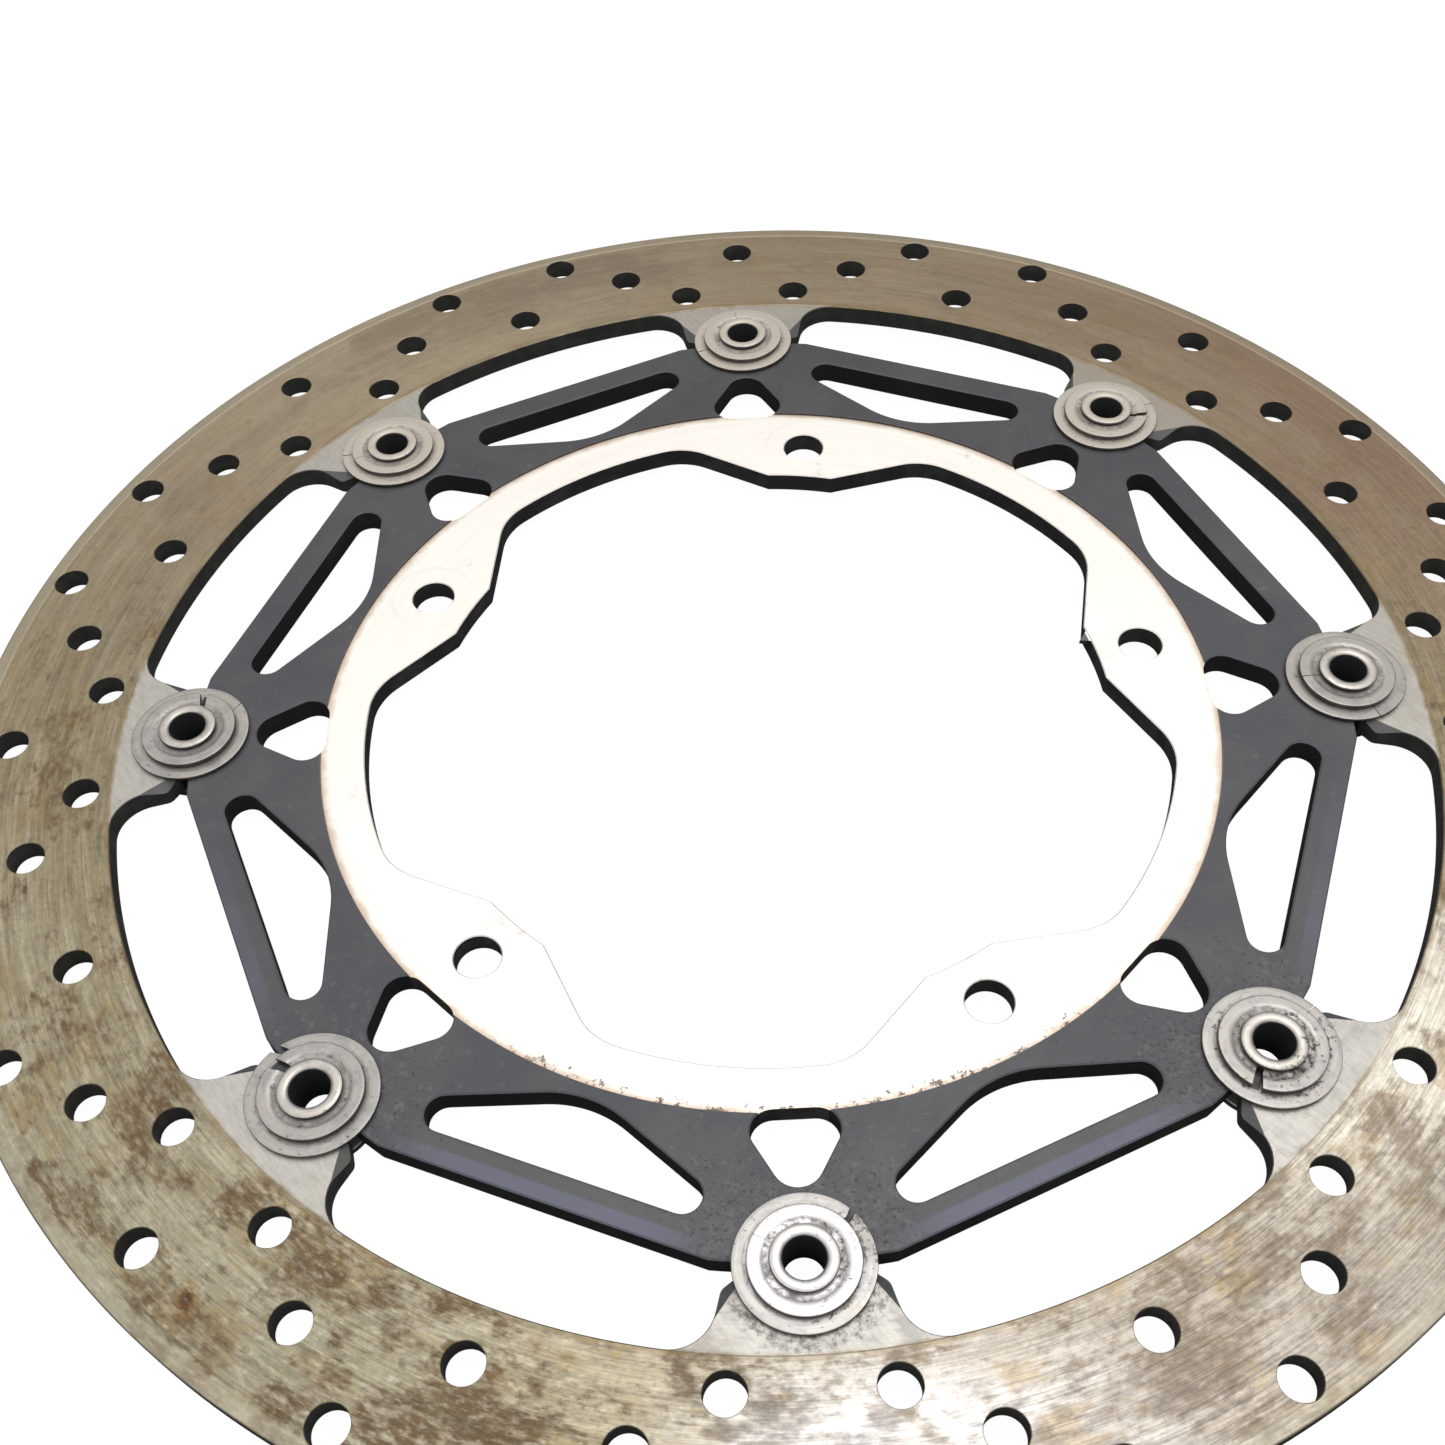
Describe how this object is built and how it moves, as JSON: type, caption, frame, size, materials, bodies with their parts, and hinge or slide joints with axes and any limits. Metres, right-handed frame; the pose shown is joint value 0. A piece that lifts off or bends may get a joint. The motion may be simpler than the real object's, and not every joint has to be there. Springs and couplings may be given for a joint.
{
  "type": "motorcycle brake disc rotor",
  "caption": "Floating motorcycle front brake disc: drilled steel ring carried on a spoked aluminium centre by hollow bobbins with split washers.",
  "frame": {"origin": "on the disc's axis, in the plane of the bobbins' back flanges", "axes": "+Z along the wheel axis towards the disc's front face; a bobbin lies on -Y and every 45 degrees from it; one wheel bolt hole lies 9 degrees from +X"},
  "size_m": [0.31, 0.31, 0.0099],
  "materials": {
    "ring_steel": "brushed and heat-stained friction band with cleaner tabs",
    "carrier_alloy": "matt black anodised, bare machined hub flange",
    "bobbin_steel": "plated, satin, dirty in the grooves",
    "washer_steel": "plated spring steel, satin"
  },
  "bodies": {
    "carrier": {"carrier": "carrier_alloy"},
    "ring": {"brake_ring": "ring_steel"},
    "bobbin_1": {"bobbin_1": "bobbin_steel", "flat_washer_1": "washer_steel", "spring_washer_1": "washer_steel"},
    "bobbin_2": {"bobbin_2": "bobbin_steel", "flat_washer_2": "washer_steel", "spring_washer_2": "washer_steel"},
    "bobbin_3": {"bobbin_3": "bobbin_steel", "flat_washer_3": "washer_steel", "spring_washer_3": "washer_steel"},
    "bobbin_4": {"bobbin_4": "bobbin_steel", "flat_washer_4": "washer_steel", "spring_washer_4": "washer_steel"},
    "bobbin_5": {"bobbin_5": "bobbin_steel", "flat_washer_5": "washer_steel", "spring_washer_5": "washer_steel"},
    "bobbin_6": {"bobbin_6": "bobbin_steel", "flat_washer_6": "washer_steel", "spring_washer_6": "washer_steel"},
    "bobbin_7": {"bobbin_7": "bobbin_steel", "flat_washer_7": "washer_steel", "spring_washer_7": "washer_steel"},
    "bobbin_8": {"bobbin_8": "bobbin_steel", "flat_washer_8": "washer_steel", "spring_washer_8": "washer_steel"}
  },
  "joints": [
    {"name": "ring_float", "type": "slide", "parent": "carrier", "child": "ring", "axis": [0, 0, 1], "range_m": [-0.0003, 0.0002]},
    {"name": "bobbin_1_turn", "type": "hinge", "parent": "carrier", "child": "bobbin_1", "pos_m": [0, -0.111, 0.005], "axis": [0, 0, 1], "continuous": true},
    {"name": "bobbin_2_turn", "type": "hinge", "parent": "carrier", "child": "bobbin_2", "pos_m": [0.07849, -0.07849, 0.005], "axis": [0, 0, 1], "continuous": true},
    {"name": "bobbin_3_turn", "type": "hinge", "parent": "carrier", "child": "bobbin_3", "pos_m": [0.111, 0, 0.005], "axis": [0, 0, 1], "continuous": true},
    {"name": "bobbin_4_turn", "type": "hinge", "parent": "carrier", "child": "bobbin_4", "pos_m": [0.07849, 0.07849, 0.005], "axis": [0, 0, 1], "continuous": true},
    {"name": "bobbin_5_turn", "type": "hinge", "parent": "carrier", "child": "bobbin_5", "pos_m": [0, 0.111, 0.005], "axis": [0, 0, 1], "continuous": true},
    {"name": "bobbin_6_turn", "type": "hinge", "parent": "carrier", "child": "bobbin_6", "pos_m": [-0.07849, 0.07849, 0.005], "axis": [0, 0, 1], "continuous": true},
    {"name": "bobbin_7_turn", "type": "hinge", "parent": "carrier", "child": "bobbin_7", "pos_m": [-0.111, 0, 0.005], "axis": [0, 0, 1], "continuous": true},
    {"name": "bobbin_8_turn", "type": "hinge", "parent": "carrier", "child": "bobbin_8", "pos_m": [-0.07849, -0.07849, 0.005], "axis": [0, 0, 1], "continuous": true}
  ]
}
